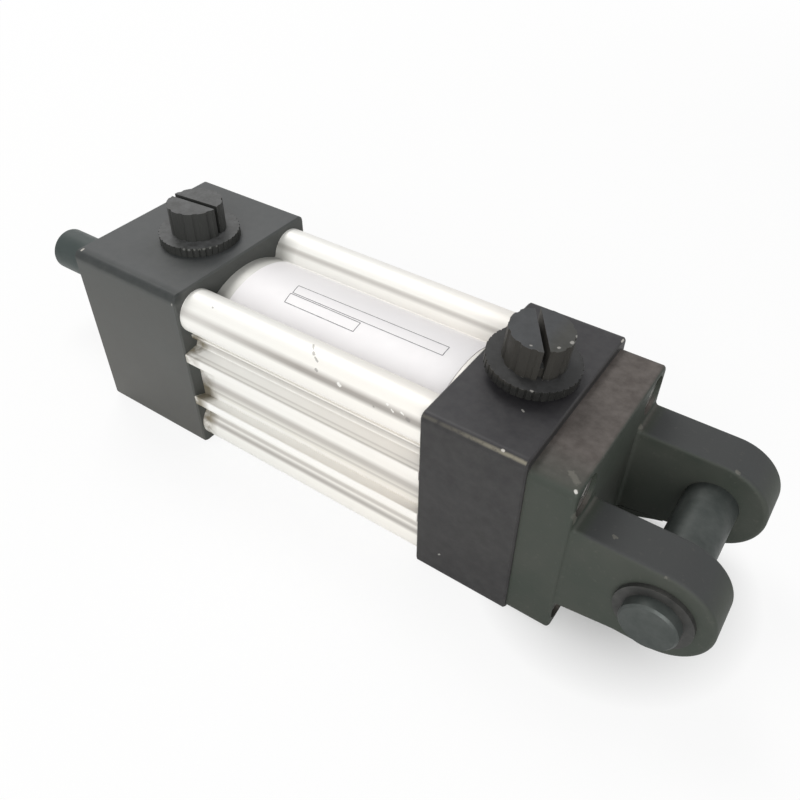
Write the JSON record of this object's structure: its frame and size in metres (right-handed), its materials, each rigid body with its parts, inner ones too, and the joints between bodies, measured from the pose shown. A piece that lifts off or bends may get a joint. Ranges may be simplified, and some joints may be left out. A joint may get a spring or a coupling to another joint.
{
  "type": "pneumatic cylinder",
  "caption": "Short tie-rod pneumatic cylinder: two square blocks on a railed aluminium barrel, threaded rod end, and a rear clevis with its pivot pin.",
  "frame": {"origin": "middle of the rear pivot pin, on the bore's axis", "axes": "+X along the bore to the rod end, +Z to the side with the ports, +Y to the front"},
  "size_m": [0.2261, 0.0558, 0.0648],
  "materials": {
    "black_anodised": "satin black anodised",
    "clear_anodised": "satin clear anodised extrusion",
    "cast_black": "rough cast, worn black paint",
    "black_plastic": "moulded, matt",
    "protector_plastic": "soft moulded cap",
    "pin_steel": "dark oxide",
    "ring_steel": "phosphated spring steel",
    "rod_chrome": "polished hard chrome",
    "zinc_steel": "zinc plated",
    "bronze": "machined bronze",
    "plain_aluminium": "machined",
    "nitrile": "moulded seal",
    "urethane": "moulded wiper",
    "bearing_plastic": "filled bearing strip",
    "magnet": "bonded magnet",
    "label_film": "printed film"
  },
  "bodies": {
    "cylinder": {"head": "black_anodised", "cap": "black_anodised", "barrel": "clear_anodised", "tie_rods": "zinc_steel", "tie_nuts_head": "zinc_steel", "tie_nuts_clevis": "zinc_steel", "clevis_bracket": "cast_black", "rod_gland": "bronze", "gland_retaining_ring": "ring_steel", "gland_o_ring": "nitrile", "rod_seal": "nitrile", "rod_wiper": "urethane", "head_o_ring": "nitrile", "cap_o_ring": "nitrile", "name_label": "label_film"},
    "piston_seals": {"piston_seal_rod_side": "nitrile", "piston_seal_cap_side": "nitrile", "wear_band": "bearing_plastic"},
    "rod": {"piston_rod": "rod_chrome", "piston": "plain_aluminium", "piston_nut": "zinc_steel", "piston_o_ring": "nitrile", "magnet_ring": "magnet"},
    "protector": {"rod_end_protector": "protector_plastic"},
    "pin": {"pivot_pin": "pin_steel", "pin_rings": "ring_steel"},
    "head_plug": {"head_port_plug": "black_plastic"},
    "cap_plug": {"cap_port_plug": "black_plastic"}
  },
  "joints": [
    {"name": "rod_stroke", "type": "slide", "parent": "cylinder", "child": "piston_seals", "axis": [1, 0, 0], "range_m": [0, 0.0381]},
    {"name": "rod_turn", "type": "hinge", "parent": "piston_seals", "child": "rod", "pos_m": [0.15, 0, 0], "axis": [1, 0, 0], "continuous": true},
    {"name": "protector_pull", "type": "slide", "parent": "rod", "child": "protector", "axis": [1, 0, 0], "range_m": [0, 0.022]},
    {"name": "pin_turn", "type": "hinge", "parent": "cylinder", "child": "pin", "pos_m": [0, 0, 0], "axis": [0, 1, 0], "continuous": true},
    {"name": "head_plug_lift", "type": "slide", "parent": "cylinder", "child": "head_plug", "axis": [0, 0, 1], "range_m": [0, 0.012]},
    {"name": "cap_plug_lift", "type": "slide", "parent": "cylinder", "child": "cap_plug", "axis": [0, 0, 1], "range_m": [0, 0.01]}
  ]
}
